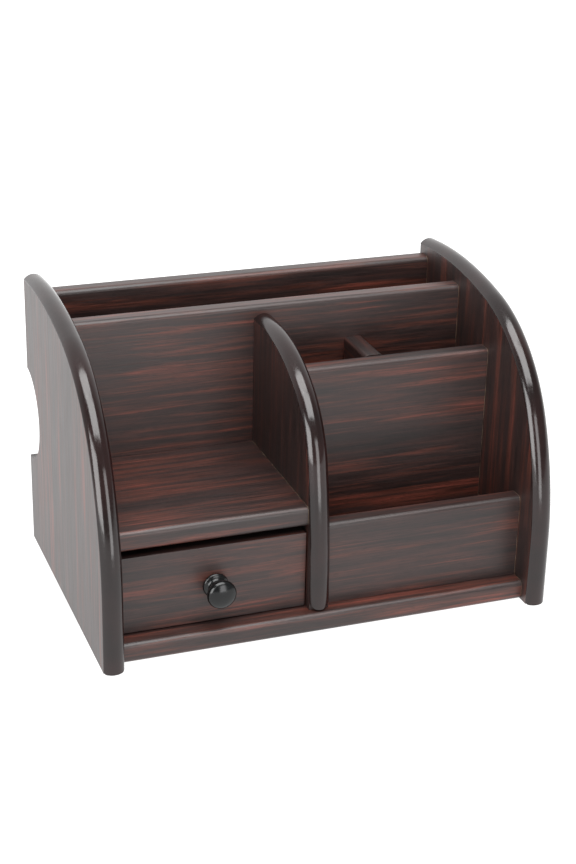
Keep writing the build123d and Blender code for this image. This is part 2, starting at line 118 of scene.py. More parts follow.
def set_ramp(node: bpy.types.Node, stops: list[tuple[float, str]]) -> None:
    """Gives a Color Ramp node its stops.

    Args:
        node: The Color Ramp node.
        stops: Pairs of position and sRGB hex colour, in rising order.
    """
    elements = node.color_ramp.elements
    while len(elements) < len(stops):
        elements.new(0.5)
    for element, (position, colour) in zip(elements, stops):
        element.position = position
        element.color = linear(colour)


def new_material(name: str) -> tuple[bpy.types.Material, bpy.types.NodeTree]:
    """Makes an empty node material.

    Args:
        name: The material's name.

    Returns:
        The material and its emptied node tree.
    """
    material = bpy.data.materials.new(name)
    material.use_nodes = True
    material.node_tree.nodes.clear()
    return material, material.node_tree


class Grain(Enum):
    """The direction that a board's grain runs in, as the turn that lays it along local X."""

    ACROSS = (0.0, 0.0, 0.0)
    UPRIGHT = (0.0, math.radians(90), 0.0)
    DEEP = (0.0, 0.0, math.radians(90))


# ---------------------------------------------------------------------------- finishes
@dataclass(frozen=True)
class RosewoodFoil:
    """Printed rosewood-grain foil on MDF, pressed on and wrapped round the rounded edges.

    The print gives a very dark brown ground, soft red-brown streaks that wander along the grain, and short
    fine fibres and pores. The top coat is satin, so broad lights lie on it as a soft grey sheen. Each
    pattern's size is its width across the grain and its length along it, in mm. The fibres are drawn a
    little coarser than the print's, so that they show.
    """

    grain: Grain
    offset: tuple[float, float, float]
    worn_above_x: float | None = None
    band: tuple[float, float] = (11.0, 150.0)
    streak: tuple[float, float] = (3.0, 85.0)
    fibre: tuple[float, float] = (0.8, 26.0)
    pore: tuple[float, float] = (0.5, 6.0)
    worn_line_mm: float = 0.45
    chip_spacing: float = 1 / 90

    def _pattern(self, tree: bpy.types.NodeTree, base: bpy.types.NodeSocket, size: tuple[float, float],
                 detail: float, distortion: float) -> bpy.types.NodeSocket:
        """Adds a noise stretched along the grain.

        Args:
            tree: The material's node tree.
            base: The turned coordinates, with the grain along X.
            size: Feature width across the grain and length along it, in mm.
            detail: Octaves of the noise.
            distortion: How much the streaks wander.

        Returns:
            The noise's value socket.
        """
        across, along = size
        stretch = (1 / (along * MM), 1 / (across * MM), 1 / (across * MM))
        scaled = add_node(tree, "Mapping", {"Scale": stretch}, {"Vector": base})
        noise = add_node(tree, "TexNoise", {"Scale": 1.0, "Detail": detail, "Roughness": 0.5,
                                            "Distortion": distortion}, {"Vector": scaled.outputs[0]})
        return noise.outputs["Fac"]

    def material(self, name: str) -> bpy.types.Material:
        """Builds the foil's material.

        Args:
            name: The material's name.

        Returns:
            The finished material.
        """
        material, tree = new_material(name)
        place = add_node(tree, "TexCoord")
        turned = add_node(tree, "Mapping", {"Rotation": self.grain.value, "Location": self.offset},
                          {"Vector": place.outputs["Object"]}).outputs[0]
        bands = self._pattern(tree, turned, self.band, 2.0, 0.5)
        streaks = self._pattern(tree, turned, self.streak, 2.0, 0.8)
        fibres = self._pattern(tree, turned, self.fibre, 3.0, 0.0)
        pores = self._pattern(tree, turned, self.pore, 1.0, 0.0)
        mixed = add_node(tree, "Mix", {"data_type": "FLOAT", 0: 0.5}, {2: bands, 3: streaks})
        tone = add_node(tree, "ValToRGB", links={"Fac": mixed.outputs[0]})
        set_ramp(tone, [(0.36, "#221513"), (0.50, "#361f1b"), (0.58, "#50291f"), (0.68, "#71372b")])
        shade = add_node(tree, "MapRange",
                         {"From Min": 0.3, "From Max": 0.7, "To Min": 0.55, "To Max": 1.45},
                         {"Value": fibres})
        flecks = add_node(tree, "MapRange",
                          {"From Min": 0.30, "From Max": 0.45, "To Min": 0.6, "To Max": 1.0},
                          {"Value": pores})
        depth = add_node(tree, "Math", {"operation": "MULTIPLY"}, {0: shade.outputs[0], 1: flecks.outputs[0]})
        printed = add_node(tree, "VectorMath", {"operation": "SCALE"},
                           {0: tone.outputs["Color"], "Scale": depth.outputs[0]}).outputs[0]
        colour = self._worn(tree, place.outputs["Object"], printed)
        rough = add_node(tree, "MapRange", {"From Min": 0.3, "From Max": 0.7, "To Min": 0.40, "To Max": 0.52},
                         {"Value": fibres})
        relief = add_node(tree, "Bump", {"Strength": 0.5, "Distance": 0.06 * MM},
                          {"Height": depth.outputs[0]})
        surface = add_node(tree, "BsdfPrincipled", {"IOR": 1.52, "Coat Weight": 0.26, "Coat Roughness": 0.38},
                           {"Base Color": colour, "Roughness": rough.outputs[0], "Normal": relief.outputs[0]})
        add_node(tree, "OutputMaterial", links={"Surface": surface.outputs[0]})
        return material

    def _worn(self, tree: bpy.types.NodeTree, place: bpy.types.NodeSocket,
              printed: bpy.types.NodeSocket) -> bpy.types.NodeSocket:
        """Bares a thin, broken line of raw MDF where the foil stops at the board's end.

        Args:
            tree: The material's node tree.
            place: The object coordinates.
            printed: The printed colour.

        Returns:
            The colour with the worn line in it.
        """
        if self.worn_above_x is None:
            return printed
        parts = add_node(tree, "SeparateXYZ", links={0: place})
        near = add_node(tree, "MapRange", {"From Min": self.worn_above_x - self.worn_line_mm * MM,
                                           "From Max": self.worn_above_x - 0.5 * self.worn_line_mm * MM},
                        {"Value": parts.outputs["X"]})
        chips = add_node(tree, "TexNoise", {"Scale": 1 / self.chip_spacing, "Detail": 3.0},
                         {"Vector": place})
        broken = add_node(tree, "MapRange", {"From Min": 0.40, "From Max": 0.60, "To Min": 0.1},
                          {"Value": chips.outputs["Fac"]})
        amount = add_node(tree, "Math", {"operation": "MULTIPLY"}, {0: near.outputs[0], 1: broken.outputs[0]})
        bared = add_node(tree, "Mix", {"data_type": "RGBA", 7: linear("#94806a")},
                         {0: amount.outputs[0], 6: printed})
        return bared.outputs[2]


@dataclass(frozen=True)
class GlossEdging:
    """Extruded PVC edging, very dark brown: a hard gloss with faint waves that bend its reflections."""

    wave_mm: float = 9.0

    def material(self, name: str) -> bpy.types.Material:
        """Builds the edging's material.

        Args:
            name: The material's name.

        Returns:
            The finished material.
        """
        material, tree = new_material(name)
        place = add_node(tree, "TexCoord").outputs["Object"]
        cloud = add_node(tree, "TexNoise", {"Scale": 1 / (25 * MM), "Detail": 2.0}, {"Vector": place})
        tint = add_node(tree, "ValToRGB", links={"Fac": cloud.outputs["Fac"]})
        set_ramp(tint, [(0.35, "#1c100f"), (0.65, "#2a1817")])
        waves = add_node(tree, "TexNoise", {"Scale": 1 / (self.wave_mm * MM), "Detail": 1.0},
                         {"Vector": place})
        specks = add_node(tree, "TexNoise", {"Scale": 1 / (1.2 * MM), "Detail": 2.0}, {"Vector": place})
        rough = add_node(tree, "MapRange",
                         {"From Min": 0.4, "From Max": 0.75, "To Min": 0.13, "To Max": 0.22},
                         {"Value": specks.outputs["Fac"]})
        relief = add_node(tree, "Bump", {"Strength": 0.5, "Distance": 0.08 * MM},
                          {"Height": waves.outputs["Fac"]})
        surface = add_node(tree, "BsdfPrincipled", {"IOR": 1.54},
                           {"Base Color": tint.outputs["Color"], "Roughness": rough.outputs[0],
                            "Normal": relief.outputs[0]})
        add_node(tree, "OutputMaterial", links={"Surface": surface.outputs[0]})
        return material


@dataclass(frozen=True)
class BlackLacquer:
    """Turned wood under thick black lacquer: deep black, with sharp highlights and a faintly blotchy gloss.
    """

    def material(self, name: str) -> bpy.types.Material:
        """Builds the lacquer's material.

        Args:
            name: The material's name.

        Returns:
            The finished material.
        """
        material, tree = new_material(name)
        place = add_node(tree, "TexCoord").outputs["Object"]
        cloud = add_node(tree, "TexNoise", {"Scale": 1 / (4 * MM), "Detail": 3.0}, {"Vector": place})
        tint = add_node(tree, "ValToRGB", links={"Fac": cloud.outputs["Fac"]})
        set_ramp(tint, [(0.3, "#08090a"), (0.7, "#101213")])
        rough = add_node(tree, "MapRange", {"From Min": 0.3, "From Max": 0.7, "To Min": 0.16, "To Max": 0.27},
                         {"Value": cloud.outputs["Fac"]})
        relief = add_node(tree, "Bump", {"Strength": 0.3, "Distance": 0.03 * MM},
                          {"Height": cloud.outputs["Fac"]})
        surface = add_node(tree, "BsdfPrincipled", {"IOR": 1.42, "Coat Weight": 0.1, "Coat Roughness": 0.1},
                           {"Base Color": tint.outputs["Color"], "Roughness": rough.outputs[0],
                            "Normal": relief.outputs[0]})
        add_node(tree, "OutputMaterial", links={"Surface": surface.outputs[0]})
        return material


@dataclass(frozen=True)
class PlainFibre:
    """Bare pressed wood fibre, such as hardboard, or bare beech: matt, with flecks and fine pores."""

    dark: str
    light: str
    fleck_mm: tuple[float, float, float]
    roughness: float = 0.65

    def material(self, name: str) -> bpy.types.Material:
        """Builds the bare wood's material.

        Args:
            name: The material's name.

        Returns:
            The finished material.
        """
        material, tree = new_material(name)
        place = add_node(tree, "TexCoord").outputs["Object"]
        stretch = tuple(1 / (size * MM) for size in self.fleck_mm)
        scaled = add_node(tree, "Mapping", {"Scale": stretch}, {"Vector": place})
        flecks = add_node(tree, "TexNoise", {"Scale": 1.0, "Detail": 4.0}, {"Vector": scaled.outputs[0]})
        tint = add_node(tree, "ValToRGB", links={"Fac": flecks.outputs["Fac"]})
        set_ramp(tint, [(0.35, self.dark), (0.65, self.light)])
        relief = add_node(tree, "Bump", {"Strength": 0.4, "Distance": 0.06 * MM},
                          {"Height": flecks.outputs["Fac"]})
        surface = add_node(tree, "BsdfPrincipled", {"IOR": 1.5, "Roughness": self.roughness},
                           {"Base Color": tint.outputs["Color"], "Normal": relief.outputs[0]})
        add_node(tree, "OutputMaterial", links={"Surface": surface.outputs[0]})
        return material


@dataclass(frozen=True)
class ZincPlate:
    """Zinc-plated steel: bright grey metal, a little blotchy."""

    def material(self, name: str) -> bpy.types.Material:
        """Builds the plated steel's material.

        Args:
            name: The material's name.

        Returns:
            The finished material.
        """
        material, tree = new_material(name)
        place = add_node(tree, "TexCoord").outputs["Object"]
        blotch = add_node(tree, "TexNoise", {"Scale": 1 / (1.5 * MM), "Detail": 3.0}, {"Vector": place})
        tint = add_node(tree, "ValToRGB", links={"Fac": blotch.outputs["Fac"]})
        set_ramp(tint, [(0.3, "#a9abaa"), (0.7, "#c9cac6")])
        rough = add_node(tree, "MapRange", {"From Min": 0.3, "From Max": 0.7, "To Min": 0.25, "To Max": 0.42},
                         {"Value": blotch.outputs["Fac"]})
        surface = add_node(tree, "BsdfPrincipled", {"Metallic": 1.0},
                           {"Base Color": tint.outputs["Color"], "Roughness": rough.outputs[0]})
        add_node(tree, "OutputMaterial", links={"Surface": surface.outputs[0]})
        return material


# ---------------------------------------------------------------------------- the workbench
@dataclass(frozen=True)
class Turn:
    """One round stretch of an outline in the YZ plane, rolling forward and down: radius and turn."""

    radius_mm: float
    degrees: float


class Bench:
    """Edit-mode hand moves shared by all pieces."""

    @staticmethod
    def clear_selection() -> None:
        """Leaves edit mode and deselects everything."""
        if bpy.context.object and bpy.context.object.mode != "OBJECT":
            bpy.ops.object.mode_set(mode="OBJECT")
        bpy.ops.object.select_all(action="DESELECT")

    @staticmethod
    def cube(name: str, low: Vector, high: Vector) -> bpy.types.Object:
        """Adds a block that fills a box.

        Args:
            name: The piece's name.
            low: The box's lowest corner.
            high: The box's highest corner.

        Returns:
            The block, with its place in its mesh.
        """
        Bench.clear_selection()
        bpy.ops.mesh.primitive_cube_add(size=1.0, location=(low + high) / 2, scale=high - low)
        return Bench.settle(name)

    @staticmethod
    def settle(name: str) -> bpy.types.Object:
        """Names the active object and puts its place, turn and size into its mesh.

        Args:
            name: The piece's name.

        Returns:
            The piece.
        """
        piece = bpy.context.object
        piece.name = name
        piece.data.name = name
        bpy.ops.object.transform_apply(location=True, rotation=True, scale=True)
        return piece

    @staticmethod
    def point(name: str, place: Vector) -> bpy.types.Object:
        """Starts a piece from one point and leaves it selected in edit mode.

        Args:
            name: The piece's name.
            place: Where the point is.

        Returns:
            The piece.
        """
        Bench.clear_selection()
        bpy.ops.mesh.primitive_plane_add(size=MM, location=place)
        piece = Bench.settle(name)
        bpy.ops.object.mode_set(mode="EDIT")
        bpy.ops.mesh.select_mode(type="VERT")
        bpy.ops.mesh.select_all(action="SELECT")
        bpy.ops.mesh.merge(type="CENTER")
        return piece

    @staticmethod
    def pull(by: Vector) -> None:
        """Extrudes what is selected along a straight line."""
        bpy.ops.mesh.extrude_region_move(TRANSFORM_OT_translate={"value": by})

    @staticmethod
    def roll(centre: Vector, axis: Vector, degrees: float, steps: int) -> None:
        """Extrudes what is selected along an arc.

        Args:
            centre: A point on the arc's axis.
            axis: The axis; the turn follows the right-hand rule about it.
            degrees: How far to turn.
            steps: How many segments to make.
        """
        bpy.ops.mesh.spin(steps=steps, angle=-math.radians(degrees), center=centre, axis=axis)

    @staticmethod
    def select_edges(piece: bpy.types.Object, chosen: Callable[[bmesh.types.BMEdge], bool]) -> int:
        """Selects the edges that pass a test, in edit mode.

        Args:
            piece: The piece in edit mode.
            chosen: The test.

        Returns:
            How many edges were selected.
        """
        bpy.ops.mesh.select_mode(type="EDGE")
        bpy.ops.mesh.select_all(action="DESELECT")
        mesh = bmesh.from_edit_mesh(piece.data)
        edges = [edge for edge in mesh.edges if chosen(edge)]
        for edge in edges:
            edge.select_set(True)
        bmesh.update_edit_mesh(piece.data)
        return len(edges)

    @staticmethod
    def bevel(piece: bpy.types.Object, chosen: Callable[[bmesh.types.BMEdge], bool], width: float,
              segments: int) -> None:
        """Rounds the edges that pass a test.

        Args:
            piece: The piece, in object mode.
            chosen: The test.
            width: The rounding's radius, in metres.
            segments: How many segments the rounding gets.
        """
        bpy.context.view_layer.objects.active = piece
        bpy.ops.object.mode_set(mode="EDIT")
        if Bench.select_edges(piece, chosen):
            bpy.ops.mesh.bevel(offset=width, segments=segments, affect="EDGES", profile=0.5,
                               clamp_overlap=True)
        bpy.ops.object.mode_set(mode="OBJECT")

    @staticmethod
    def soften(piece: bpy.types.Object, width: float = 0.35 * MM, segments: int = 2,
               angle: float = 50.0) -> None:
        """Takes the sharpness off every corner that is still sharp.

        Args:
            piece: The piece, in object mode.
            width: The rounding's radius, in metres.
            segments: How many segments it gets.
            angle: Edges that turn by more than this many degrees count as sharp.
        """
        sharp = math.radians(angle)

        def is_sharp(edge: bmesh.types.BMEdge) -> bool:
            """True for a corner between two faces that turns by more than the angle."""
            return len(edge.link_faces) == 2 and edge.calc_face_angle(0.0) > sharp

        Bench.bevel(piece, is_sharp, width, segments)

    @staticmethod
    def close_up() -> None:
        """Merges doubles, fills every open loop and turns the faces outwards, in edit mode."""
        bpy.ops.mesh.select_all(action="SELECT")
        bpy.ops.mesh.remove_doubles(threshold=MERGE_DISTANCE)
        bpy.ops.mesh.fill_holes(sides=0)
        bpy.ops.mesh.select_all(action="SELECT")
        bpy.ops.mesh.normals_make_consistent(inside=False)
        bpy.ops.object.mode_set(mode="OBJECT")

    @staticmethod
    def smooth(piece: bpy.types.Object, degrees: float = 32.0) -> None:
        """Shades round stretches smooth while flat faces stay flat.

        Args:
            piece: The piece, in object mode.
            degrees: Edges sharper than this stay sharp.
        """
        Bench.clear_selection()
        piece.select_set(True)
        bpy.context.view_layer.objects.active = piece
        bpy.ops.object.shade_smooth_by_angle(angle=math.radians(degrees))
        bpy.ops.object.modifier_add(type="WEIGHTED_NORMAL")
        bpy.context.object.modifiers[-1].keep_sharp = True
        bpy.ops.object.modifier_apply(modifier=bpy.context.object.modifiers[-1].name)

    @staticmethod
    def copy_beside(piece: bpy.types.Object, name: str, by: Vector) -> bpy.types.Object:
        """Copies a finished piece, with a mesh of its own, and sets the copy down beside it.

        Args:
            piece: The piece to copy, in object mode.
            name: The copy's name.
            by: How far the copy is moved.

        Returns:
            The copy, with its place in its mesh.
        """
        Bench.clear_selection()
        piece.select_set(True)
        bpy.context.view_layer.objects.active = piece
        bpy.ops.object.duplicate()
        bpy.ops.transform.translate(value=by)
        return Bench.settle(name)

    @staticmethod
    def hand_over(piece: bpy.types.Object, material: bpy.types.Material, node: str, body: str,
                  slot: str) -> bpy.types.Object:
        """Dresses a finished piece and puts it in the place of its CAD node.

        Args:
            piece: The finished piece.
            material: Its material.
            node: The CAD node it stands for.
            body: The body it rides on.
            slot: The record's material slot; not used.

        Returns:
            The piece.
        """
        piece.data.materials.clear()
        piece.data.materials.append(material)
        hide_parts(node)
        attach(piece, body)
        log.info("%s: %d faces, rides on %s", piece.name, len(piece.data.polygons), body)
        return piece


def box_of(node: str) -> tuple[Vector, Vector]:
    """The lowest and highest corner of a CAD node as vectors."""
    low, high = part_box(node)
    return Vector(low), Vector(high)


# ---------------------------------------------------------------------------- boards
class Rounded(Enum):
    """Which long edges of a board are rounded over."""

    NONE = "none"
    TOP = "top"
    FRONT = "front"


@dataclass
class Board:
    """One straight board: a block with its rounded-over edges and softened corners."""

    node: str
    grain: Grain
    rounded: Rounded
    offset: tuple[float, float, float]
    body: str = "case"
    rounding_mm: float = 3.0
    rounding_steps: int = 8
    worn_end: bool = False

    def _is_rounded(self, low: Vector, high: Vector) -> Callable[[bmesh.types.BMEdge], bool]:
        """Gives the test for the long edges that get rounded over.

        Args:
            low: The board's lowest corner.
            high: The board's highest corner.

        Returns:
            The test on an edge.
        """
        runs_along_x = (high.x - low.x) > (high.y - low.y) or self.rounded is Rounded.FRONT

        def chosen(edge: bmesh.types.BMEdge) -> bool:
            """Tells whether an edge is a long one at the rounded side.

            Args:
                edge: The edge to look at.

            Returns:
                True for a long edge at the rounded side.
            """
            ends = [vertex.co for vertex in edge.verts]
            level = all(abs(end.z - high.z) < SAME_PLACE for end in ends)
            forward = all(abs(end.y - low.y) < SAME_PLACE for end in ends)
            span = abs(ends[0].x - ends[1].x) if runs_along_x else abs(ends[0].y - ends[1].y)
            return span > LONG_EDGE and (level if self.rounded is Rounded.TOP else forward)

        return chosen

    def build(self) -> bpy.types.Object:
        """Models the board and puts it in place of its CAD node.

        Returns:
            The board.
        """
        low, high = box_of(self.node)
        piece = Bench.cube(f"{self.node}_board", low, high)
        if self.rounded is not Rounded.NONE:
            Bench.bevel(piece, self._is_rounded(low, high), self.rounding_mm * MM, self.rounding_steps)
        Bench.soften(piece)
        Bench.smooth(piece)
        worn = high.x if self.worn_end else None
        foil = RosewoodFoil(self.grain, self.offset, worn_above_x=worn)
        dress = foil.material(f"rosewood_foil_{self.node}")
        return Bench.hand_over(piece, dress, self.node, self.body, "foil_board")


@dataclass
class CaseBoards:
    """The straight boards of the case and the drawer's front."""

    boards: list[Board] = field(default_factory=lambda: [
        Board("back_panel", Grain.ACROSS, Rounded.TOP, (0.31, 0.02, 0.11), worn_end=True),
        Board("letter_divider", Grain.ACROSS, Rounded.TOP, (0.93, 0.51, 0.27), worn_end=True),
        Board("pen_divider", Grain.ACROSS, Rounded.TOP, (0.17, 0.83, 0.64), worn_end=True),
        Board("pen_slot_divider", Grain.DEEP, Rounded.TOP, (0.52, 0.33, 0.71)),
        Board("pocket_front", Grain.ACROSS, Rounded.TOP, (0.44, 0.12, 0.95), worn_end=True),
        Board("drawer_shelf", Grain.ACROSS, Rounded.FRONT, (0.72, 0.61, 0.38), worn_end=True),
        Board("base_panel", Grain.ACROSS, Rounded.FRONT, (0.25, 0.42, 0.58), worn_end=True),
        Board("drawer_front", Grain.ACROSS, Rounded.NONE, (0.66, 0.27, 0.49), body="drawer"),
    ])

    def build(self) -> None:
        """Models every straight board."""
        for board in self.boards:
            board.build()


# ---------------------------------------------------------------------------- curved pieces
@dataclass
class CurvedPanel:
    """A panel with a curved top and front edge, and the domed edging strip that covers that edge."""

    node: str
    edging_node: str
    rear_height_mm: float
    rise_degrees: float
    flat_mm: float
    turns: tuple[Turn, ...]
    notch_radius_mm: float = 0.0
    notch_height_mm: float = 0.0
    foot_gap_mm: float = 0.0
    foot_rounding_mm: float = 1.5
    crest_mm: float = 3.48
    lip_mm: float = 0.3
    step_degrees: float = 2.5
    notch_steps: int = 40
    dome_steps: int = 20
    foot_steps: int = 6
    spare_mm: float = 10.0
    overlength_mm: float = 2.0

    def _forward(self) -> Vector:
        """The direction in which the curved edge leaves the rear top corner."""
        rise = math.radians(self.rise_degrees)
        return Vector((0, -math.cos(rise), math.sin(rise)))

    def _follow_edge(self, start: Vector, foot: float) -> None:
        """Pulls what is selected along the curved edge, from the rear top corner down to the foot.

        Args:
            start: The rear top corner of the board's edge.
            foot: The height at which the edge ends.
        """
        place, forward = start.copy(), self._forward()
        if self.flat_mm:
            Bench.pull(forward * self.flat_mm * MM)
            place += forward * self.flat_mm * MM
        for turn in self.turns:
            inward = Vector((0, -forward.z, forward.y))
            centre = place + inward * turn.radius_mm * MM
            steps = max(3, round(turn.degrees / self.step_degrees))
            Bench.roll(centre, Vector((1, 0, 0)), turn.degrees, steps)
            spin = Quaternion((1, 0, 0), math.radians(turn.degrees))
            place = centre + spin @ (place - centre)
            forward = spin @ forward
        Bench.pull(Vector((0, 0, foot - place.z)))

    def model_panel(self) -> bpy.types.Object:
        """Models the panel: a strip as wide as the board, pulled once round the outline and filled.

        Returns:
            The panel.
        """
        low, high = box_of(self.node)
        top = low.z + self.rear_height_mm * MM
        corner = Vector((low.x, high.y, top))
        piece = Bench.point(f"{self.node}_board", corner)
        Bench.pull(Vector((high.x - low.x, 0, 0)))
        bpy.ops.mesh.select_all(action="SELECT")
        self._follow_edge(corner, low.z)
        Bench.pull(Vector((0, high.y - low.y, 0)))
        if self.notch_radius_mm:
            radius, middle = self.notch_radius_mm * MM, low.z + self.notch_height_mm * MM
            Bench.pull(Vector((0, 0, middle - radius - low.z)))
            Bench.roll(Vector((0, high.y, middle)), Vector((-1, 0, 0)), 180.0, self.notch_steps)
            Bench.pull(Vector((0, 0, top - middle - radius)))
        else:
            Bench.pull(Vector((0, 0, top - low.z)))
        Bench.close_up()
        Bench.soften(piece, angle=60.0)
        Bench.smooth(piece)
        return piece

    def _draw_profile(self, start: Vector, width: float) -> None:
        """Draws the edging's cross section: a lip, a shallow dome and the other lip.

        Args:
            start: The lower left corner of the cross section.
            width: The strip's width.
        """
        forward = self._forward()
        outward = Vector((0, forward.z, -forward.y))
        lip, crest = self.lip_mm * MM, self.crest_mm * MM
        rise = crest - lip
        radius = ((width / 2) ** 2 + rise**2) / (2 * rise)
        half = math.degrees(math.asin(width / 2 / radius))
        centre = start + Vector((width / 2, 0, 0)) + outward * (crest - radius)
        Bench.pull(outward * lip)
        Bench.roll(centre, -forward, 2 * half, self.dome_steps)
        Bench.pull(-outward * lip)
        Bench.pull(Vector((-width, 0, 0)))
        bpy.ops.mesh.select_all(action="SELECT")
        bpy.ops.mesh.remove_doubles(threshold=MERGE_DISTANCE)

    def _foot_mask(self, low: Vector, high: Vector) -> bpy.types.Object:
        """Models the block that cuts the strip's lower end round, seen from the front.

        Args:
            low: The panel's lowest corner.
            high: The panel's highest corner.

        Returns:
            The block, a little larger than the strip on its other sides.
        """
        edging_low, edging_high = box_of(self.edging_node)
        foot = low.z + self.foot_gap_mm * MM
        mask = Bench.cube("foot_mask", Vector((low.x - HAIR, edging_low.y - self.spare_mm * MM, foot)),
                          Vector((high.x + HAIR, edging_high.y - HAIR, edging_high.z + self.spare_mm * MM)))

        def at_foot(edge: bmesh.types.BMEdge) -> bool:
            """Tells whether an edge is one of the two long ones at the foot.

            Args:
                edge: The edge to look at.

            Returns:
                True for an edge at the foot that runs from front to back.
            """
            low_enough = all(abs(vertex.co.z - foot) < SAME_PLACE for vertex in edge.verts)
            return low_enough and abs(edge.verts[0].co.y - edge.verts[1].co.y) > LONG_EDGE

        Bench.bevel(mask, at_foot, self.foot_rounding_mm * MM, self.foot_steps)
        return mask

    def model_edging(self) -> bpy.types.Object:
        """Models the edging: the domed cross section, pulled along the curve and cut round at its foot.

        Returns:
            The edging.
        """
        low, high = box_of(self.node)
        start = Vector((low.x, high.y, low.z + self.rear_height_mm * MM))
        piece = Bench.point(f"{self.edging_node}_strip", start)
        self._draw_profile(start, high.x - low.x)
        bpy.ops.mesh.select_all(action="SELECT")
        self._follow_edge(start, low.z - self.overlength_mm * MM)
        Bench.close_up()
        mask = self._foot_mask(low, high)
        Bench.clear_selection()
        piece.select_set(True)
        bpy.context.view_layer.objects.active = piece
        bpy.ops.object.modifier_add(type="BOOLEAN")
        cut = piece.modifiers[-1]
        cut.operation, cut.solver, cut.object = "INTERSECT", "EXACT", mask
        bpy.ops.object.modifier_apply(modifier=cut.name)
        bpy.data.objects.remove(mask)
        Bench.soften(piece, width=0.2 * MM, angle=60.0)
        Bench.smooth(piece, 40.0)
        return piece


@dataclass
class CurvedPanels:
    """The two side panels and the centre divider, each with its edging."""

    side_turns: tuple[Turn, ...] = (Turn(278.0, 20.0), Turn(97.0, 52.0), Turn(173.0, 25.0))
    divider_turns: tuple[Turn, ...] = (Turn(100.0, 34.0), Turn(61.5, 44.0), Turn(388.0, 12.0))

    def _dress(self, board: bpy.types.Object, strip: bpy.types.Object, nodes: tuple[str, str],
               offset: tuple[float, float, float], gloss: bpy.types.Material) -> None:
        """Dresses a panel and its edging and puts them in place of their CAD nodes.

        Args:
            board: The panel.
            strip: Its edging.
            nodes: The panel's and the edging's CAD node.
            offset: Where the panel's grain is taken from.
            gloss: The edging's material.
        """
        foil = RosewoodFoil(Grain.UPRIGHT, offset).material(f"rosewood_foil_{nodes[0]}")
        Bench.hand_over(board, foil, nodes[0], "case", "foil_board")
        Bench.hand_over(strip, gloss, nodes[1], "case", "edging")

    def build(self) -> None:
        """Models the left panel and the centre divider, copies the left one to the right, and dresses all."""
        gloss = GlossEdging().material("gloss_edging")
        left = ("left_side_panel", "left_side_edging")
        right = ("right_side_panel", "right_side_edging")
        middle = ("centre_divider", "centre_divider_edging")
        side = CurvedPanel(*left, rear_height_mm=174.0, rise_degrees=7.0, flat_mm=0.0, turns=self.side_turns,
                           notch_radius_mm=29.3, notch_height_mm=87.4)
        divider = CurvedPanel(*middle, rear_height_mm=144.2, rise_degrees=0.0, flat_mm=15.2,
                              turns=self.divider_turns, foot_gap_mm=1.0, foot_rounding_mm=4.8)
        board, strip = side.model_panel(), side.model_edging()
        across = Vector((box_of(right[0])[0].x - box_of(left[0])[0].x, 0, 0))
        board_copy = Bench.copy_beside(board, f"{right[0]}_board", across)
        strip_copy = Bench.copy_beside(strip, f"{right[1]}_strip", across)
        self._dress(board, strip, left, (0.13, 0.74, 0.21), gloss)
        self._dress(board_copy, strip_copy, right, (0.58, 0.19, 0.82), gloss)
        self._dress(divider.model_panel(), divider.model_edging(), middle, (0.37, 0.46, 0.15), gloss)


# ---------------------------------------------------------------------------- knob and drawer
@dataclass
class Knob:
    """The drawer's turned knob: a collar, a neck and a domed head, spun about a level axis."""

    outline_mm: tuple[tuple[float, float], ...] = (
        (6.9, 0.0), (7.7, 0.5), (7.7, 1.7), (6.9, 2.3), (5.6, 2.8), (4.6, 4.0), (4.4, 6.0), (5.6, 8.0),
        (7.6, 9.6), (8.7, 11.0), (8.8, 12.6), (8.3, 13.9), (7.0, 14.9), (4.2, 16.0), (0.0, 16.5),
    )

    steps: int = 40
    smoothing_levels: int = 2

    def build(self) -> bpy.types.Object:
        """Models and dresses the knob.

        Returns:
            The knob.
        """
        low, high = box_of("drawer_knob")
        axis_x, axis_z, foot = (low.x + high.x) / 2, (low.z + high.z) / 2, high.y
        radius, out = self.outline_mm[0]
        here = Vector((axis_x + radius * MM, foot - out * MM, axis_z))
        piece = Bench.point("drawer_knob_turned", here)
        for radius, out in self.outline_mm[1:]:
            there = Vector((axis_x + radius * MM, foot - out * MM, axis_z))
            Bench.pull(there - here)
            here = there
        bpy.ops.mesh.select_all(action="SELECT")
        Bench.roll(Vector((axis_x, foot, axis_z)), Vector((0, 1, 0)), 360.0, self.steps)
        Bench.close_up()
        Bench.clear_selection()
        piece.select_set(True)
        bpy.context.view_layer.objects.active = piece
        bpy.ops.object.modifier_add(type="SUBSURF")
        piece.modifiers[-1].levels = self.smoothing_levels
        piece.modifiers[-1].render_levels = self.smoothing_levels
        bpy.ops.object.modifier_apply(modifier=piece.modifiers[-1].name)
        bpy.ops.object.shade_smooth()
        lacquer = BlackLacquer().material("black_lacquer")
        return Bench.hand_over(piece, lacquer, "drawer_knob", "drawer", "knob")


@dataclass
class InnerParts:
    """The drawer's inner boards and the fasteners, which keep their CAD shape."""

    def build(self) -> None:
        """Gives each carried-over node its own material."""
        beech = PlainFibre("#a8865c", "#c6a57a", (6.0, 0.8, 0.8)).material("bare_beech")
        hardboard = PlainFibre("#5d3d26", "#7a5536", (1.6, 1.6, 1.6)).material("brown_hardboard")
        zinc = ZincPlate().material("zinc_plate")
        side_foil = RosewoodFoil(Grain.DEEP, (0.81, 0.36, 0.05)).material("rosewood_foil_drawer_sides")
        back_foil = RosewoodFoil(Grain.ACROSS, (0.29, 0.91, 0.43)).material("rosewood_foil_drawer_back")
        dressed = {
            "drawer_left_side": side_foil, "drawer_right_side": side_foil, "drawer_back": back_foil,
            "drawer_bottom": hardboard, "case_dowels": beech, "drawer_dowels": beech,
            "drawer_pins": zinc, "knob_screw": zinc,
        }
        for node, material in dressed.items():
            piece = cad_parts[node]
            piece.data.materials.clear()
            piece.data.materials.append(material)
            log.info("%s: dressed in %s", node, material.name)


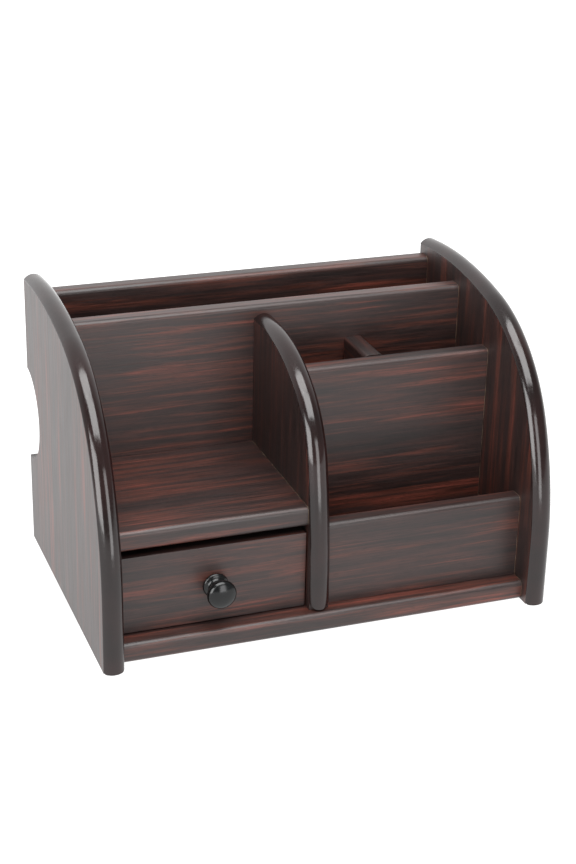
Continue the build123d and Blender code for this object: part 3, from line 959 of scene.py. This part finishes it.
# ---------------------------------------------------------------------------- studio
@dataclass(frozen=True)
class Softbox:
    """A soft rectangular light that faces the object, placed by the directions of its two short sides.

    Width and distance are in metres. A light with only_gloss shows in reflections but lights no surface.
    """

    name: str
    first: tuple[float, float, float]
    last: tuple[float, float, float]
    width: float
    radiance: float
    only_gloss: bool = False
    distance: float = 1.4

    def place(self, aim: Vector) -> None:
        """Adds the light.

        Args:
            aim: The point that the light faces.
        """
        first, last = Vector(self.first).normalized(), Vector(self.last).normalized()
        back, along = (first + last).normalized(), (last - first).normalized()
        length = 2 * self.distance * math.tan(first.angle(last) / 2)
        data = bpy.data.lights.new(self.name, "AREA")
        data.shape = "RECTANGLE"
        data.size, data.size_y = self.width, length
        data.energy = self.radiance * math.pi * self.width * length
        lamp = bpy.data.objects.new(self.name, data)
        lamp.visible_diffuse = not self.only_gloss
        lamp.visible_camera = False
        turn = Matrix((along.cross(back), along, back)).transposed()
        lamp.matrix_world = Matrix.Translation(aim + back * self.distance) @ turn.to_4x4()
        bpy.context.scene.collection.objects.link(lamp)


@dataclass
class Studio:
    """Grey floor that a painted glow makes pale, soft lights and the camera, which looks a little beside the
    middle of the object.

    Angles are in degrees, the lens and its sensor in mm, and everything else in metres.
    """

    azimuth: float = -20.505
    elevation: float = 23.515
    roll: float = 1.342
    distance: float = 1.0739
    lens: float = 73.76
    sensor: float = 36.0
    floor_size: float = 12.0
    floor_gap: float = 0.02 * MM
    paper_fibre: float = 1 / 900
    aim: tuple[float, float, float] = (0.00232, 0.00081, 0.00318)
    lights: tuple[Softbox, ...] = (
        Softbox("overhead_box", (-0.45, -0.40, 0.80), (0.38, -0.45, 0.80), 0.70, 7.0),
        Softbox("left_box", (-0.83, -0.56, -0.04), (-0.70, -0.47, 0.50), 0.85, 7.0, only_gloss=True),
        Softbox("crown_box", (-0.52, -0.06, 0.85), (0.32, -0.06, 0.90), 0.48, 7.0, only_gloss=True),
        Softbox("front_card", (0.08, -0.98, -0.16), (0.08, -0.90, 0.42), 0.21, 4.3, only_gloss=True,
                distance=0.55),
    )

    def build(self) -> None:
        """Builds the floor, the lights, the surroundings and the camera."""
        middle = (Vector(CAD_BOX[0]) + Vector(CAD_BOX[1])) / 2
        aim = middle + Vector(self.aim)
        self._floor(CAD_BOX[0][2])
        self._surroundings()
        for light in self.lights:
            light.place(aim)
        self._camera(aim)
        bpy.context.scene.view_settings.view_transform = "Standard"

    def _floor(self, height: float) -> None:
        """Lays the floor just under the object: grey paper with a painted glow, brighter towards the back,
        which makes it pale and washes out the shadows on it.

        Args:
            height: The height of the surface.
        """
        Bench.clear_selection()
        bpy.ops.mesh.primitive_plane_add(size=self.floor_size, location=(0, 0, height - self.floor_gap))
        floor = Bench.settle("studio_floor")
        bpy.ops.object.mode_set(mode="EDIT")
        bpy.ops.mesh.subdivide(number_cuts=4)
        bpy.ops.object.mode_set(mode="OBJECT")
        material, tree = new_material("pale_paper_painted_glow")
        place = add_node(tree, "TexCoord").outputs["Object"]
        fibre = add_node(tree, "TexNoise", {"Scale": 1 / self.paper_fibre, "Detail": 2.0}, {"Vector": place})
        tint = add_node(tree, "ValToRGB", links={"Fac": fibre.outputs["Fac"]})
        set_ramp(tint, [(0.3, "#6c6c6c"), (0.7, "#727272")])
        parts = add_node(tree, "SeparateXYZ", links={0: place})
        # Painted glow: the floor glows instead of being lit, more strongly towards the back.
        floor_glow = add_node(tree, "MapRange", {"From Min": -0.3, "From Max": 0.9, "To Min": 0.95, "To Max": 1.5},
                       {"Value": parts.outputs["Y"]})
        surface = add_node(tree, "BsdfPrincipled", {"Roughness": 0.9, "Specular IOR Level": 0.1,
                                                    "Emission Color": (1, 1, 1, 1)},
                           {"Base Color": tint.outputs["Color"], "Emission Strength": floor_glow.outputs[0]})
        add_node(tree, "OutputMaterial", links={"Surface": surface.outputs[0]})
        floor.data.materials.append(material)

    def _surroundings(self) -> None:
        """Lights the room: bright behind, dim on the camera's side."""
        world = bpy.data.worlds.new("studio_room")
        bpy.context.scene.world = world
        world.use_nodes = True
        tree = world.node_tree
        tree.nodes.clear()
        direction = add_node(tree, "TexCoord").outputs["Generated"]
        parts = add_node(tree, "SeparateXYZ", links={0: direction})
        behind = add_node(tree, "MapRange",
                          {"From Min": -0.2, "From Max": 0.7, "To Min": 0.25, "To Max": 1.3},
                          {"Value": parts.outputs["Y"]})
        glow = add_node(tree, "Background", {"Color": (1, 1, 1, 1)}, {"Strength": behind.outputs[0]})
        add_node(tree, "OutputWorld", links={"Surface": glow.outputs[0]})

    def _camera(self, aim: Vector) -> None:
        """Sets the camera up.

        Args:
            aim: The point in the middle of the picture.
        """
        azimuth, elevation = math.radians(self.azimuth), math.radians(self.elevation)
        back = Vector((math.sin(azimuth) * math.cos(elevation), -math.cos(azimuth) * math.cos(elevation),
                       math.sin(elevation)))
        data = bpy.data.cameras.new("studio_camera")
        data.lens = self.lens
        data.sensor_width = self.sensor
        data.clip_start, data.clip_end = 0.05, 50.0
        camera = bpy.data.objects.new("studio_camera", data)
        camera.location = aim + back * self.distance
        camera.rotation_mode = "QUATERNION"
        level = (-back).to_track_quat("-Z", "Y")
        camera.rotation_quaternion = level @ Quaternion((0, 0, 1), math.radians(self.roll))
        bpy.context.scene.collection.objects.link(camera)
        bpy.context.scene.camera = camera


def main() -> None:
    """Builds the whole scene in order."""
    logging.basicConfig(level=logging.INFO, format="%(name)s: %(message)s")
    Studio().build()
    CurvedPanels().build()
    CaseBoards().build()
    Knob().build()
    InnerParts().build()


if __name__ == "__main__":
    main()
